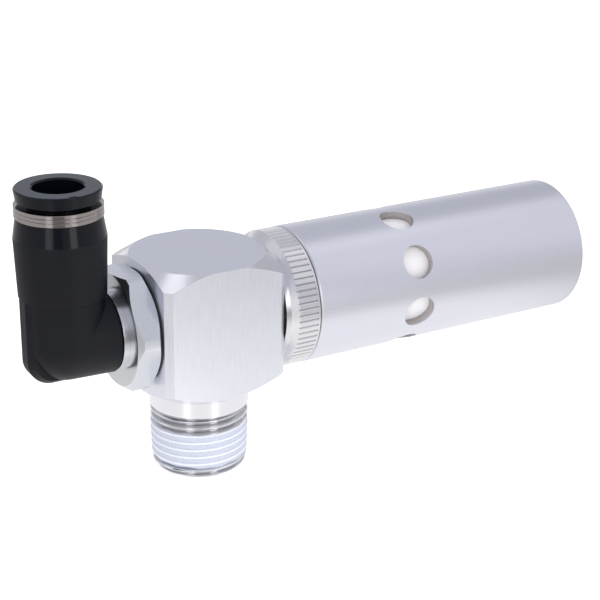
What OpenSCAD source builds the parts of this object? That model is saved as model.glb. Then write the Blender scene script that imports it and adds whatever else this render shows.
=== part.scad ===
// Vacuum ejector: a square body block on a taper-threaded vacuum spigot, a push-in supply elbow
// that swivels on a hexagonal stem, and a tubular silencer on a knurled adapter.
//
// Frame: the origin is the centre of the vacuum thread's gauge plane, +Z points up through the
// block and +X runs along the ejector axis towards the silencer. Lengths are in millimetres.

/* [Body block] */
// Width of the square block across its flats
block_w = 22; // [20:0.5:26]
// Height of the ejector axis above the thread's gauge plane
axis_h = 20.9; // [20.5:0.1:24]
// Height of the block's top face above the ejector axis
block_rise = 10.9; // [10:0.1:13]
// Drop from the ejector axis to where the lower cone leaves the boss
block_drop = 13.15; // [12.5:0.05:13.7]
// Diameter of the flat that the turned chamfer leaves on the top face
top_flat_d = 22.7; // [18:0.1:24]
// Slope of the turned corner chamfers, from the horizontal
cone_angle = 31; // [20:1:45]
// Width of the flat along each upright edge of the block
edge_break = 1.1; // [0.2:0.1:2]
// Diameter of the round boss between block and thread
boss_d = 17; // [17:0.1:19]
// Radial gap between the vacuum chamber and the flanges inside it
chamber_gap = 0.4; // [0.2:0.05:0.7]

/* [Vacuum thread] */
// Major diameter of the taper pipe thread at its gauge plane
thread_d = 16.66; // [16:0.02:16.68]
// Length from the thread's end to its gauge plane
gauge_len = 6.35; // [5:0.05:7.5]
// Length from the thread's end to the boss
thread_len = 11.45; // [10.5:0.05:12]
// Width of the relief groove under the boss
relief_w = 0.4; // [0.2:0.1:1]
// Depth of the relief groove under the boss
relief_depth = 0.6; // [0.3:0.1:1.2]
// Chamfer at the thread's end
thread_chamfer = 0.8; // [0.3:0.1:1.2]
// Diameter of the vacuum passage
vacuum_bore_d = 10; // [8:0.1:10.4]
// Distance from the thread's end to the start of the sealant
sealant_start = 1.7; // [1.3:0.1:3]
// Length of thread that the sealant covers
sealant_len = 6.6; // [4:0.1:8]
// Thickness of the sealant layer
sealant_t = 0.3; // [0.15:0.05:0.5]

/* [Hexagonal stem] */
// Width of the hexagon across its flats
hex_af = 19; // [18.5:0.5:22]
// Length of the hexagon along the ejector axis
hex_len = 4.15; // [3:0.05:6]
// Diameter to which the hexagon's corners are turned
hex_corner_d = 21.2; // [20.2:0.1:21.9]
// Diameter at which the hexagon's end chamfers start
hex_face_d = 18.9; // [17:0.1:19]
// Slope of the hexagon's end chamfers, from its end faces
hex_chamfer_angle = 32; // [15:1:45]
// Turn of the hexagon about the ejector axis, from a level top flat
hex_turn = -4; // [-15:1:15]
// Diameter of the polished neck between hexagon and elbow
neck_d = 13.2; // [12:0.1:13.6]
// Length of the polished neck
neck_len = 1; // [0.5:0.05:2]
// Diameter of the spigot that the elbow swivels on
spigot_d = 9.1; // [8.5:0.1:9.6]
// Length of that spigot
spigot_len = 4.5; // [4.2:0.1:4.8]
// Height of the bead that keeps the elbow on that spigot
bead_h = 0.3; // [0.15:0.05:0.4]
// Length of the bead
bead_len = 0.6; // [0.4:0.05:0.8]
// Distance from the spigot's end to the bead
bead_inset = 0.3; // [0.2:0.05:0.5]
// Distance from the neck to the centre of the spigot's O-ring
spigot_seal_pos = 1.5; // [1.2:0.05:1.8]
// Diameter of the supply passage through the stem
stem_bore_d = 5; // [4:0.1:5.6]
// Major diameter of the stem's thread in the block
stem_thread_d = 13.8; // [13.4:0.1:15]
// Length of the stem's thread in the block
stem_thread_len = 5; // [4:0.1:5.4]
// Thickness of the gasket between stem and block
stem_gasket_t = 0.3; // [0.2:0.05:1]
// Outer diameter of that gasket
stem_gasket_d = 18.4; // [16:0.1:18.8]

/* [Push-in elbow] */
// Distance from the elbow's open end to its upright axis
leg_len = 7.35; // [7.2:0.05:9]
// Diameter of the elbow's ball heel, of the upright part above it and of the leg's root
elbow_d = 13.2; // [12.8:0.1:13.6]
// Flare of the leg from its root to its open end
leg_flare = 0.2; // [0:0.05:0.4]
// Height of the barrel's lower edge above the ejector axis
barrel_foot = 7.85; // [7.3:0.05:9]
// Diameter of the barrel at its lower edge
barrel_foot_d = 14.1; // [13.8:0.1:14.6]
// Height of the barrel's widest place above the ejector axis
barrel_waist = 17.6; // [15:0.1:19]
// Diameter of the barrel at its widest place
barrel_d = 14.8; // [14.6:0.1:15.6]
// Height of the barrel's mouth above the ejector axis
barrel_top = 21.1; // [20.6:0.1:24]
// Diameter of the barrel at its mouth
barrel_top_d = 13.75; // [13.6:0.05:14.2]
// Radius of the corner of the rib around the heel
rib_r = 4.1; // [3:0.1:6]
// Width of the rib's crest
rib_w = 2.4; // [1.6:0.1:3]
// Width of the rib at its foot
rib_foot_w = 5.2; // [4:0.1:6]
// Height of the rib above the back of the upright part
rib_h = 0.3; // [0.1:0.05:0.8]
// Height of the rib's sloped sides
rib_side_h = 0.9; // [0.6:0.1:1.4]
// Diameter of the elbow's flow passage
elbow_bore_d = 6; // [4:0.1:6.4]
// Depth of the tube stop below the barrel's mouth
tube_stop = 13.4; // [12.5:0.1:14]
// Diameter of the tube that pushes in
tube_d = 8; // [7.6:0.1:8.2]

/* [Push-in cartridge] */
// Diameter of the cartridge bore in the barrel
cartridge_d = 12.2; // [11.8:0.1:12.4]
// Depth of the cartridge bore below the barrel's mouth
cartridge_depth = 9.1; // [8.8:0.1:9.6]
// Distance that the nickel guide ring's band stands proud of the barrel's mouth
band_proud = 0.175; // [0:0.025:0.3]
// Height of that band
guide_band_h = 1.9; // [1.5:0.1:2.5]
// Height of the guide ring's skirt inside the barrel
guide_skirt_h = 4.3; // [4:0.1:4.8]
// Wall thickness of that skirt
guide_wall = 0.55; // [0.4:0.05:0.7]
// Step from the skirt's bore in to the throat that guides the release ring
throat_step = 0.45; // [0.3:0.05:0.5]
// Depth of that throat below the barrel's mouth
guide_throat_depth = 0.6; // [0.4:0.1:0.8]
// Depth of the two fine grooves around the visible band
guide_groove_depth = 0.12; // [0.05:0.01:0.2]
// Thickness of the claw ring's rim
claw_t = 0.4; // [0.3:0.05:0.6]
// Number of teeth on the claw ring
claw_teeth = 8; // [6:1:12]
// Drop of the teeth below the rim
claw_droop = 1.1; // [0.8:0.1:1.4]
// Width of the slots between the teeth
claw_slot_w = 0.7; // [0.4:0.1:1]
// Distance that the seal's lip and the teeth reach inside the tube's bore
tube_grip = 0.2; // [0.1:0.05:0.3]
// Height of the seal's body above its seat
seal_body_h = 1; // [0.6:0.1:1.6]
// Height of the seal's lip above its seat
seal_lip_h = 2.1; // [1.8:0.1:2.4]
// Height of the release ring's head
head_h = 1.95; // [1.5:0.05:3]
// Step from the guide ring's band in to the release ring's head
head_step = 0.1; // [0:0.05:0.4]
// Flare of the head from its lower edge to its top
head_flare = 0.25; // [0:0.05:0.5]
// Gap under the head, in which the release ring travels
release_gap = 0.75; // [0.7:0.05:1.2]
// Height of the release ring's tip above the claw ring
release_tip_rise = 0.9; // [0.8:0.05:1.2]
// Height of the bead that keeps the release ring in its guide
release_bead_h = 1; // [0.8:0.05:1.2]
// Width of the notch in the head's rim
notch_w = 1.2; // [0.5:0.1:2]
// Direction of the notch, turned from +X
notch_turn = -92; // [-180:2:180]

/* [Nozzle and diffuser] */
// Diameter of the nozzle's shank in the stem
nozzle_d = 9; // [8.6:0.1:9.4]
// Length of the nozzle's shank
nozzle_shank_len = 6.5; // [5.5:0.1:7.5]
// Diameter of the nozzle's snout at its flange
nozzle_snout_d = 6; // [5:0.1:8]
// Wall of the nozzle at its tip
nozzle_tip_wall = 0.65; // [0.4:0.05:1]
// Diameter of the nozzle's throat
nozzle_throat_d = 2; // [1:0.1:2.2]
// Diameter of the nozzle's outlet
nozzle_outlet_d = 2.3; // [2.2:0.1:3]
// Length of the flare between the nozzle's throat and its outlet
nozzle_flare_len = 3.75; // [2:0.25:5]
// Gap between the nozzle's tip and the diffuser
mixing_gap = 2.5; // [1:0.1:3.5]
// Diameter of the diffuser's shank
diffuser_d = 9.4; // [9:0.1:9.8]
// Length of the diffuser
diffuser_len = 40; // [36:0.5:46]
// Diameter of the diffuser's inlet
diffuser_inlet_d = 7.8; // [6:0.1:8.4]
// Length of the taper behind that inlet
diffuser_inlet_len = 8; // [4:0.5:12]
// Diameter of the diffuser's throat
diffuser_throat_d = 3.5; // [2.5:0.1:4.5]
// Length of that throat
diffuser_throat_len = 12; // [8:0.5:16]
// Diameter of the diffuser's outlet
diffuser_outlet_d = 6.8; // [5:0.1:7.6]
// Diameter of the flanges on nozzle and diffuser
flange_d = 11.6; // [11:0.1:11.8]
// Thickness of those flanges
flange_t = 1; // [0.6:0.1:1.4]
// Distance from the diffuser's flange to the centre of its O-ring
diffuser_seal_pos = 3; // [2:0.1:4]
// Cord diameter of the O-rings
cord_d = 1.1; // [0.9:0.05:1.3]

/* [Silencer] */
// Outer diameter of the silencer case
case_d = 24; // [23:0.1:27]
// Length of the silencer case
case_len = 56.5; // [50:0.5:80]
// Wall thickness of the silencer case
case_wall = 1.55; // [1:0.05:1.8]
// Thickness of the case's closed end
case_end_t = 1.7; // [1:0.1:3]
// Round on the rim of the closed end
case_end_r = 0.5; // [0.2:0.1:1]
// Chamfer at the case's open end
case_chamfer = 0.3; // [0.1:0.05:0.5]
// Number of exhaust holes
hole_count = 8; // [4:1:10]
// Diameter of each exhaust hole
hole_d = 6; // [3:0.1:7]
// Distance from the case's open end to the holes' centres
hole_pos = 20.3; // [16:0.1:30]
// Turn of the first hole from straight up
hole_turn = 16; // [0:1:44]
// Bore of the sound-absorbing element
element_bore_d = 14; // [12:0.1:16]

/* [Adapter] */
// Step from the silencer case down to the adapter's knurl
knurl_step = 0.1; // [0:0.05:0.5]
// Length of the knurl
knurl_len = 4.15; // [3:0.05:6]
// Number of knurl grooves
knurl_count = 70; // [48:1:90]
// Depth of the knurl grooves
knurl_depth = 0.22; // [0.1:0.02:0.4]
// Length of the plain land between the knurl and the relief next to it
knurl_land = 0.35; // [0.2:0.05:0.6]
// Width of that relief, which parts the adapter from the silencer case
seam_w = 0.2; // [0.1:0.05:0.4]
// Depth of that relief
seam_depth = 0.45; // [0.3:0.05:0.8]
// Drop of the adapter's front cones from the knurl to the rim
adapter_cone_drop = 1.6; // [1:0.1:2.2]
// Length of the adapter's front cones
adapter_cone_len = 1.7; // [1:0.05:2.5]
// Thickness of the gasket between adapter and block
adapter_gasket_t = 0.35; // [0.3:0.05:1]
// Outer diameter of that gasket
adapter_gasket_d = 18; // [16.5:0.1:18.6]
// Major diameter of the adapter's thread in the block
adapter_thread_d = 15; // [14:0.1:15.6]
// Length of the adapter's thread in the block
adapter_thread_len = 5; // [4:0.1:5.6]
// Length of the adapter's thread in the silencer case
case_thread_len = 4.8; // [3:0.1:7]

/* [Fits] */
// Radial clearance of screwed and pushed-in pieces
fit_gap = 0.05; // [0.02:0.01:0.08]
// Radial clearance of the elbow on its spigot
swivel_gap = 0.05; // [0.03:0.01:0.08]
// Radial clearance of the release ring in its guide
slide_gap = 0.07; // [0.04:0.01:0.09]
// End clearance of pieces that turn or slide
end_gap = 0.1; // [0.05:0.01:0.15]
// Radial clearance of the tube in its guide bores
tube_gap = 0.1; // [0.05:0.01:0.15]
// Width that an O-ring's groove leaves beside its cord
groove_slack = 0.2; // [0.1:0.05:0.3]

/* [Hidden] */
$fn = 120;
eps = 0.01;

// Stations along the ejector axis, outwards from the block's two faces.
stem_face_x = -block_w / 2;
hex_back_x = stem_face_x - stem_gasket_t;
hex_front_x = hex_back_x - hex_len;
neck_end_x = hex_front_x - neck_len;
leg_end_x = neck_end_x - end_gap;
elbow_x = leg_end_x - leg_len;
spigot_end_x = neck_end_x - spigot_len;
stem_end_x = stem_face_x + stem_thread_len;
nozzle_x = stem_end_x - nozzle_shank_len;
nozzle_face_x = stem_end_x + flange_t;
adapter_face_x = block_w / 2;
adapter_rim_x = adapter_face_x + adapter_gasket_t;
knurl_x = adapter_rim_x + adapter_cone_len;
case_x = knurl_x + knurl_len;
case_end_x = case_x + case_len;
case_floor_x = case_end_x - case_end_t;
adapter_end_x = adapter_face_x - adapter_thread_len;
element_x = case_x + case_thread_len;
diffuser_x = adapter_end_x - flange_t;
nozzle_tip_x = diffuser_x - mixing_gap;
diffuser_end_x = diffuser_x + diffuser_len;

// Centres of the O-rings and place of the elbow's retaining bead.
spigot_seal_x = neck_end_x - spigot_seal_pos;
nozzle_seal_x = stem_end_x - nozzle_shank_len / 2;
diffuser_seal_x = adapter_end_x + diffuser_seal_pos;
bead_x = spigot_end_x + bead_inset;

// Heights above the ejector axis in the push-in barrel.
cartridge_seat = barrel_top - cartridge_depth;
guide_top = barrel_top + guide_band_h;
skirt_foot = barrel_top - guide_skirt_h;
claw_foot = skirt_foot - claw_t;
head_foot = guide_top + release_gap;
head_top = head_foot + head_h;
throat_foot = barrel_top - guide_throat_depth;
tube_stop_z = barrel_top - tube_stop;

// Heights above the gauge plane on the vacuum spigot.
thread_end_z = -gauge_len;
boss_z = thread_len - gauge_len;
cone_foot_z = axis_h - block_drop;
block_top_z = axis_h + block_rise;

// Radii and diameters that follow from the sizes above.
cone_rise = tan(cone_angle);
chamber_d = flange_d + 2 * chamber_gap;
tube_bore_r = tube_d / 2 + tube_gap;
grip_r = tube_bore_r - tube_grip;
cartridge_r = cartridge_d / 2 - fit_gap;
guide_bore_r = cartridge_r - guide_wall;
throat_r = guide_bore_r - throat_step;
band_r = barrel_top_d / 2 + band_proud;
release_neck_r = throat_r - slide_gap;
head_r = band_r - head_step;
spigot_bore_d = spigot_d + 2 * swivel_gap;
case_bore_d = case_d - 2 * case_wall;
knurl_r = case_d / 2 - knurl_step;

// A revolved profile on the ejector axis: each point is [radius, x].
module along_axis(points) {
    translate([0, 0, axis_h])
        rotate([0, 90, 0])
            rotate_extrude()
                polygon(points);
}

// A revolved profile on the elbow's upright axis: each point is [radius, height above the ejector axis].
module on_barrel(points) {
    translate([elbow_x, 0, axis_h])
        rotate_extrude()
            polygon(points);
}

// A cylinder on the ejector axis from x0 to x1.
module axis_cylinder(d, x0, x1) {
    translate([x0, 0, axis_h])
        rotate([0, 90, 0])
            cylinder(d = d, h = x1 - x0);
}

// Radius of an O-ring groove's floor in a shank, so that the ring reaches half into the gap outside it.
function groove_floor_r(shank_d, gap) = (shank_d + gap) / 2 - cord_d;

// The cut for an O-ring's groove in a shank on the ejector axis.
module o_ring_groove(shank_d, gap, x) {
    half_w = (cord_d + groove_slack) / 2;
    difference() {
        axis_cylinder(shank_d + 2 * eps, x - half_w, x + half_w);
        axis_cylinder(2 * groove_floor_r(shank_d, gap), x - half_w - eps, x + half_w + eps);
    }
}

// The O-ring that lies in such a groove.
module axis_o_ring(shank_d, gap, x) {
    translate([x, 0, axis_h])
        rotate([0, 90, 0])
            rotate_extrude()
                translate([groove_floor_r(shank_d, gap) + cord_d / 2, 0])
                    circle(d = cord_d, $fn = 32);
}

// The square bar with its upright edges chamfered.
module block_bar() {
    half = block_w / 2;
    inner = half - edge_break;
    translate([0, 0, cone_foot_z - eps])
        linear_extrude(block_top_z - cone_foot_z + 2 * eps)
            polygon([[half, inner], [inner, half], [-inner, half], [-half, inner],
                     [-half, -inner], [-inner, -half], [inner, -half], [half, -inner]]);
}

// The turned envelope that cuts the bar's corners to cones, with the boss and the thread below it.
module turned_envelope() {
    reach = block_w;
    rotate_extrude()
        polygon([[0, boss_z], [boss_d / 2, boss_z], [boss_d / 2, cone_foot_z],
                 [reach, cone_foot_z + (reach - boss_d / 2) * cone_rise],
                 [reach, block_top_z - (reach - top_flat_d / 2) * cone_rise],
                 [top_flat_d / 2, block_top_z], [0, block_top_z]]);
}

// The spigot, drawn plain at the thread's gauge diameter, with the seat for its sealant.
module vacuum_spigot() {
    r = thread_d / 2;
    relief_r = r - relief_depth;
    seat_r = r - sealant_t;
    seal_z = thread_end_z + sealant_start;
    rotate_extrude()
        polygon([[0, thread_end_z], [r - thread_chamfer, thread_end_z],
                 [r, thread_end_z + thread_chamfer], [r, seal_z], [seat_r, seal_z],
                 [seat_r, seal_z + sealant_len], [r, seal_z + sealant_len],
                 [r, boss_z - relief_w], [relief_r, boss_z - relief_w],
                 [relief_r, boss_z + eps], [0, boss_z + eps]]);
}

module body_block() {
    color("lightsteelblue")
        difference() {
            union() {
                intersection() {
                    block_bar();
                    turned_envelope();
                }
                translate([0, 0, boss_z])
                    cylinder(d = boss_d, h = cone_foot_z - boss_z + eps);
                vacuum_spigot();
            }
            translate([0, 0, thread_end_z - eps])
                cylinder(d = vacuum_bore_d, h = axis_h - thread_end_z);
            axis_cylinder(chamber_d, stem_end_x - eps, adapter_end_x + eps);
            axis_cylinder(stem_thread_d + 2 * fit_gap, stem_face_x - eps, stem_end_x + fit_gap);
            axis_cylinder(adapter_thread_d + 2 * fit_gap, adapter_end_x - fit_gap, adapter_face_x + eps);
        }
}

module thread_sealant() {
    color("white")
        translate([0, 0, thread_end_z + sealant_start])
            difference() {
                cylinder(d = thread_d, h = sealant_len);
                translate([0, 0, -eps])
                    cylinder(r = thread_d / 2 - sealant_t, h = sealant_len + 2 * eps);
            }
}

// The hexagon, its corners turned round and both its ends chamfered.
module stem_hexagon() {
    chamfer_len = (hex_corner_d - hex_face_d) / 2 * tan(hex_chamfer_angle);
    intersection() {
        translate([hex_front_x, 0, axis_h])
            rotate([30 + hex_turn, 0, 0])
                rotate([0, 90, 0])
                    cylinder(d = hex_af / cos(30), h = hex_len, $fn = 6);
        along_axis([[0, hex_front_x], [hex_face_d / 2, hex_front_x],
                    [hex_corner_d / 2, hex_front_x + chamfer_len],
                    [hex_corner_d / 2, hex_back_x - chamfer_len],
                    [hex_face_d / 2, hex_back_x], [0, hex_back_x]]);
    }
}

// The spigot that the elbow swivels on, with its retaining bead.
module stem_spigot() {
    r = spigot_d / 2;
    bead_end = bead_x + bead_len;
    bead_ramp = bead_len - 0.1;
    along_axis([[0, spigot_end_x], [r - bead_inset, spigot_end_x], [r, bead_x],
                [r + bead_h, bead_x + bead_ramp], [r + bead_h, bead_end], [r, bead_end],
                [r, neck_end_x + eps], [0, neck_end_x + eps]]);
}

module hex_stem() {
    color("gainsboro")
        difference() {
            union() {
                stem_hexagon();
                stem_spigot();
                axis_cylinder(neck_d, neck_end_x, hex_front_x + eps);
                axis_cylinder(stem_thread_d, hex_back_x - eps, stem_end_x);
            }
            axis_cylinder(stem_bore_d, spigot_end_x - eps, stem_end_x + eps);
            axis_cylinder(nozzle_d + 2 * fit_gap, nozzle_x - end_gap, stem_end_x + eps);
            o_ring_groove(spigot_d, swivel_gap, spigot_seal_x);
        }
}

module stem_gasket() {
    color("dimgray")
        difference() {
            axis_cylinder(stem_gasket_d, hex_back_x, stem_face_x);
            axis_cylinder(stem_thread_d + 2 * fit_gap, hex_back_x - eps, stem_face_x + eps);
        }
}

module stem_o_ring() {
    color("black")
        axis_o_ring(spigot_d, swivel_gap, spigot_seal_x);
}

// The elbow's heel: a ball under the upright part.
module heel() {
    translate([elbow_x, 0, axis_h]) {
        sphere(d = elbow_d);
        cylinder(d = elbow_d, h = barrel_foot + eps);
    }
}

// Half of the rib's section, with its crest at the given reach from the middle of its foot.
function rib_section(reach) =
    [[0, -rib_foot_w / 2], [reach - rib_side_h, -rib_foot_w / 2], [reach, -rib_w / 2],
     [reach, rib_w / 2], [reach - rib_side_h, rib_foot_w / 2], [0, rib_foot_w / 2]];

// The rib: down the back of the upright part, around a corner and under the heel.
module heel_rib() {
    back = elbow_d / 2 + rib_h;
    under = elbow_d / 2;
    rib_end = 1;
    translate([elbow_x, 0, axis_h]) {
        translate([0, 0, rib_r - under])
            linear_extrude(barrel_foot + under - rib_r + eps)
                rotate(180)
                    polygon(rib_section(back));
        translate([rib_r - back, 0, rib_r - under])
            rotate([-90, 0, 180])
                rotate_extrude(angle = 90)
                    polygon(rib_section(rib_r));
        translate([rib_r - back, 0, 0])
            rotate([0, 90, 0])
                linear_extrude(back - rib_r - rib_end)
                    polygon(rib_section(under));
    }
}

module elbow_barrel() {
    lip = 0.15;
    on_barrel([[0, barrel_foot], [barrel_foot_d / 2 - lip, barrel_foot],
               [barrel_foot_d / 2, barrel_foot + lip], [barrel_d / 2, barrel_waist],
               [barrel_top_d / 2, barrel_top - lip], [barrel_top_d / 2 - lip, barrel_top],
               [0, barrel_top]]);
}

module elbow_leg() {
    lip = 0.35;
    leg_r = elbow_d / 2 + leg_flare;
    along_axis([[0, elbow_x], [elbow_d / 2, elbow_x], [leg_r, leg_end_x - lip],
                [leg_r - lip, leg_end_x], [0, leg_end_x]]);
}

module elbow_body() {
    flow_r = elbow_bore_d / 2;
    color([0.1, 0.1, 0.11])
        difference() {
            union() {
                heel();
                heel_rib();
                elbow_barrel();
                elbow_leg();
            }
            axis_cylinder(spigot_bore_d, spigot_end_x - end_gap, leg_end_x + eps);
            axis_cylinder(spigot_bore_d + 2 * bead_h, bead_x, bead_x + bead_len + end_gap);
            axis_cylinder(elbow_bore_d, elbow_x, leg_end_x);
            on_barrel([[0, 0], [flow_r, 0], [flow_r, tube_stop_z],
                       [tube_bore_r, tube_stop_z], [tube_bore_r, cartridge_seat],
                       [cartridge_d / 2, cartridge_seat], [cartridge_d / 2, barrel_top + eps],
                       [0, barrel_top + eps]]);
        }
}

// The elastic sleeve that seals on the tube with a lip, which air pressure closes.
module tube_seal() {
    lip_z = cartridge_seat + seal_lip_h;
    lip_t = 0.4;
    back_t = 0.6;
    color("dimgray")
        on_barrel([[tube_bore_r + tube_grip, cartridge_seat], [cartridge_r, cartridge_seat],
                   [cartridge_r, claw_foot], [cartridge_r - back_t, claw_foot],
                   [grip_r, lip_z + lip_t], [grip_r, lip_z],
                   [tube_bore_r + tube_grip, cartridge_seat + seal_body_h]]);
}

// The spring ring whose inward teeth bite the tube.
module lock_claw() {
    root_r = guide_bore_r - 0.2;
    color("silver")
        difference() {
            on_barrel([[root_r, claw_foot], [cartridge_r, claw_foot], [cartridge_r, skirt_foot],
                       [root_r, skirt_foot], [grip_r, skirt_foot - claw_droop],
                       [grip_r, claw_foot - claw_droop]]);
            for (i = [0 : claw_teeth - 1])
                translate([elbow_x, 0, axis_h + claw_foot - 2 * claw_droop])
                    rotate([0, 0, i * 360 / claw_teeth])
                        translate([0, -claw_slot_w / 2, 0])
                            cube([root_r - fit_gap, claw_slot_w, 4 * claw_droop]);
        }
}

// The plated ring that closes the barrel and guides the release ring in its throat.
module guide_ring() {
    lip = 0.05;
    mouth = 0.3;
    color("rosybrown")
        difference() {
            on_barrel([[guide_bore_r, skirt_foot], [cartridge_r, skirt_foot],
                       [cartridge_r, barrel_top], [band_r - lip, barrel_top],
                       [band_r, barrel_top + lip], [band_r, guide_top - lip],
                       [band_r - lip, guide_top], [throat_r + mouth, guide_top],
                       [throat_r, guide_top - mouth], [throat_r, throat_foot],
                       [guide_bore_r, throat_foot]]);
            for (i = [1, 2])
                band_groove(barrel_top + i * guide_band_h / 3);
        }
}

// The cut for one fine V groove around the guide ring's band.
module band_groove(z) {
    depth = guide_groove_depth;
    on_barrel([[band_r - depth, z], [band_r + eps, z - depth], [band_r + eps, z + depth]]);
}

// The ring that is pressed to free the tube: a flared head on a tube with a retaining bead.
module release_ring() {
    neck_r = release_neck_r;
    bead_r = guide_bore_r - end_gap;
    bead_top = throat_foot - end_gap;
    bead_foot = bead_top - release_bead_h;
    tip = skirt_foot + release_tip_rise;
    tip_wall = 0.4;
    tip_taper = 0.8;
    rim = 0.25;
    mouth = 0.3;
    color([0.2, 0.22, 0.25])
        difference() {
            on_barrel([[tube_bore_r, tip], [tube_bore_r + tip_wall, tip], [neck_r, tip + tip_taper],
                       [neck_r, bead_foot], [bead_r, bead_foot + release_bead_h / 2],
                       [bead_r, bead_top], [neck_r, bead_top], [neck_r, head_foot],
                       [head_r - head_flare, head_foot], [head_r, head_top - rim],
                       [head_r - rim, head_top], [tube_bore_r + mouth, head_top],
                       [tube_bore_r, head_top - mouth]]);
            release_notch();
        }
}

// The cut for the notch in the head's upper rim: its floor slopes down towards the outside.
module release_notch() {
    reach = 0.8;
    depth = 0.3;
    translate([elbow_x, 0, axis_h + head_top])
        rotate([0, 0, notch_turn])
            translate([head_r, notch_w / 2, 0])
                rotate([90, 0, 0])
                    linear_extrude(notch_w)
                        polygon([[-2 * reach, depth], [reach, -2 * depth], [reach, depth]]);
}

module nozzle() {
    throat_x = nozzle_tip_x - nozzle_flare_len;
    throat_r = nozzle_throat_d / 2;
    outlet_r = nozzle_outlet_d / 2;
    supply_r = stem_bore_d / 2;
    color("goldenrod")
        difference() {
            along_axis([[0, nozzle_x], [nozzle_d / 2, nozzle_x], [nozzle_d / 2, stem_end_x],
                        [flange_d / 2, stem_end_x], [flange_d / 2, nozzle_face_x],
                        [nozzle_snout_d / 2, nozzle_face_x],
                        [outlet_r + nozzle_tip_wall, nozzle_tip_x], [0, nozzle_tip_x]]);
            along_axis([[0, nozzle_x - eps], [supply_r, nozzle_x - eps],
                        [supply_r, stem_end_x - flange_t], [throat_r, throat_x],
                        [outlet_r, nozzle_tip_x + eps], [0, nozzle_tip_x + eps]]);
            o_ring_groove(nozzle_d, fit_gap, nozzle_seal_x);
        }
}

module nozzle_o_ring() {
    color("black")
        axis_o_ring(nozzle_d, fit_gap, nozzle_seal_x);
}

module diffuser() {
    throat_r = diffuser_throat_d / 2;
    inlet_r = diffuser_inlet_d / 2;
    throat_x = diffuser_x + diffuser_inlet_len;
    color("goldenrod")
        difference() {
            along_axis([[0, diffuser_x], [flange_d / 2, diffuser_x],
                        [flange_d / 2, adapter_end_x], [diffuser_d / 2, adapter_end_x],
                        [diffuser_d / 2, diffuser_end_x], [0, diffuser_end_x]]);
            along_axis([[0, diffuser_x - eps], [inlet_r, diffuser_x - eps], [throat_r, throat_x],
                        [throat_r, throat_x + diffuser_throat_len],
                        [diffuser_outlet_d / 2, diffuser_end_x + eps], [0, diffuser_end_x + eps]]);
            o_ring_groove(diffuser_d, fit_gap, diffuser_seal_x);
        }
}

module diffuser_o_ring() {
    color("black")
        axis_o_ring(diffuser_d, fit_gap, diffuser_seal_x);
}

// A point of the knurl's outline, a number of steps around the ring and a depth below its lands.
function knurl_point(steps, depth) =
    (knurl_r - depth) * [cos(360 * steps / knurl_count), sin(360 * steps / knurl_count)];

// The knurl's outline: one flat-topped land and one straight V groove to each step of the ring.
module knurl_outline() {
    polygon([for (i = [0 : knurl_count - 1])
        each [knurl_point(i, 0), knurl_point(i + 0.3, 0), knurl_point(i + 0.6, 0),
              knurl_point(i + 0.8, knurl_depth)]]);
}

module silencer_adapter() {
    rim_r = knurl_r - adapter_cone_drop;
    rim_step = 0.5;
    rim_len = 0.65;
    seam_x = case_x - seam_w;
    seam_r = knurl_r - seam_depth;
    land_x = seam_x - knurl_land;
    land_r = knurl_r - 0.03;
    color("silver")
        difference() {
            union() {
                intersection() {
                    translate([adapter_rim_x, 0, axis_h])
                        rotate([0, 90, 0])
                            linear_extrude(land_x - adapter_rim_x)
                                knurl_outline();
                    along_axis([[0, adapter_rim_x], [rim_r, adapter_rim_x],
                                [rim_r + rim_step, adapter_rim_x + rim_len],
                                [knurl_r, knurl_x], [knurl_r, case_x], [0, case_x]]);
                }
                along_axis([[0, land_x - eps], [land_r, land_x - eps], [land_r, seam_x],
                            [seam_r, seam_x], [seam_r, case_x], [0, case_x]]);
                axis_cylinder(adapter_thread_d, adapter_end_x, adapter_rim_x + eps);
                axis_cylinder(case_bore_d - 2 * fit_gap, case_x - eps, element_x);
            }
            axis_cylinder(diffuser_d + 2 * fit_gap, adapter_end_x - eps, element_x + eps);
        }
}

module adapter_gasket() {
    color("dimgray")
        difference() {
            axis_cylinder(adapter_gasket_d, adapter_face_x, adapter_rim_x);
            axis_cylinder(adapter_thread_d + 2 * fit_gap, adapter_face_x - eps, adapter_rim_x + eps);
        }
}

module silencer_element() {
    color("white")
        difference() {
            axis_cylinder(case_bore_d - 4 * fit_gap, element_x, case_floor_x);
            axis_cylinder(element_bore_d, element_x - eps, case_floor_x + eps);
        }
}

// The rounded rim of the case's closed end, from its wall to its end face.
function end_round() = [for (i = [0 : 6])
    [case_d / 2 - case_end_r * (1 - cos(15 * i)), case_end_x - case_end_r * (1 - sin(15 * i))]];

module silencer_case() {
    r = case_d / 2;
    bore_r = case_bore_d / 2;
    color("gainsboro")
        difference() {
            along_axis(concat(
                [[bore_r, case_x], [r - case_chamfer, case_x], [r, case_x + case_chamfer]],
                end_round(),
                [[0, case_end_x], [0, case_floor_x], [bore_r, case_floor_x]]));
            for (i = [0 : hole_count - 1])
                translate([case_x + hole_pos, 0, axis_h])
                    rotate([hole_turn + i * 360 / hole_count, 0, 0])
                        cylinder(d = hole_d, h = case_d);
        }
}

body_block();
thread_sealant();
hex_stem();
stem_gasket();
stem_o_ring();
elbow_body();
tube_seal();
lock_claw();
guide_ring();
release_ring();
nozzle();
nozzle_o_ring();
diffuser();
diffuser_o_ring();
silencer_adapter();
adapter_gasket();
silencer_element();
silencer_case();
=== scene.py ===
# %% [markdown]
# # A vacuum ejector in its finishes
#
# A vacuum ejector is a small air pump without a motor. Compressed air enters through the black
# elbow, rushes through a nozzle inside the square block, drags air up out of the threaded spigot
# below and leaves through the holes of the long silencer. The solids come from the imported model
# and are kept as they are. This script gives each of them its finish, cuts the fine thread that
# the solids leave plain, and sets up a small white studio around the part.

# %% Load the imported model
import math

import bmesh
import bpy
import numpy as np
from mathutils import Matrix, Vector


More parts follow.
